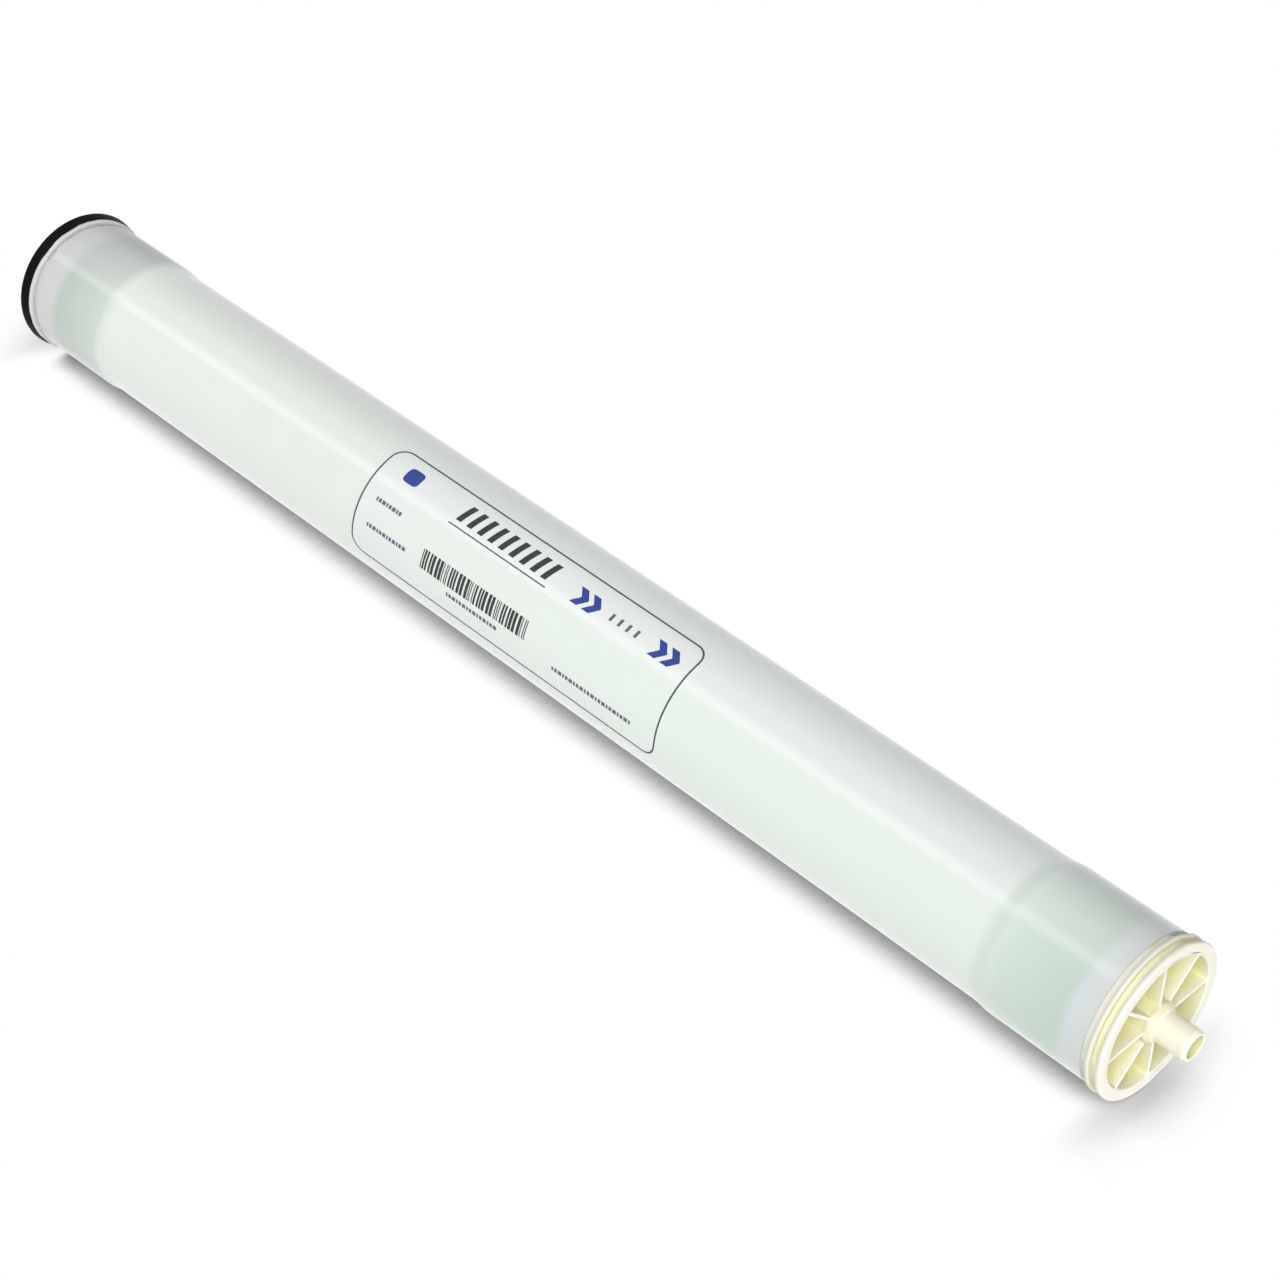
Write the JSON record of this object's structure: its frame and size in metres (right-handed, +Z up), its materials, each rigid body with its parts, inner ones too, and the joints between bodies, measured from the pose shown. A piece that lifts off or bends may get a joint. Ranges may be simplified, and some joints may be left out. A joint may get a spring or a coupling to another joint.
{
  "type": "reverse osmosis membrane element",
  "caption": "Spiral-wound membrane element with a central permeate tube, film-wrapped roll, spoked end caps and a lip seal, for sliding into a tubular pressure vessel.",
  "frame": {"origin": "on the permeate tube's axis, halfway between its two ends", "axes": "+X along the permeate tube towards the outlet end, +Z up, +Y to the left looking along +X"},
  "size_m": [1.016, 0.1022, 0.1022],
  "materials": {
    "tube_plastic": "turned cream plastic, satin",
    "carrier_fabric": "fine knitted polyester",
    "membrane_sheet": "smooth coated sheet",
    "spacer_net": "diamond net, pale",
    "wrap_film": "glossy translucent white film",
    "end_tape": "glossy translucent tape",
    "cap_plastic": "moulded ivory plastic, satin",
    "seal_rubber": "smooth black rubber",
    "label_film": "printed film, white with blue marks"
  },
  "bodies": {
    "root": {"permeate_tube": "tube_plastic", "core_wrap": "carrier_fabric", "membrane_leaf_1": "membrane_sheet", "membrane_leaf_2": "membrane_sheet", "membrane_leaf_3": "membrane_sheet", "membrane_leaf_4": "membrane_sheet", "feed_spacer_1": "spacer_net", "feed_spacer_2": "spacer_net", "feed_spacer_3": "spacer_net", "feed_spacer_4": "spacer_net", "outer_wrap": "wrap_film", "end_tapes": "end_tape", "feed_end_cap": "cap_plastic", "outlet_end_cap": "cap_plastic", "brine_seal": "seal_rubber", "label": "label_film"}
  },
  "joints": []
}
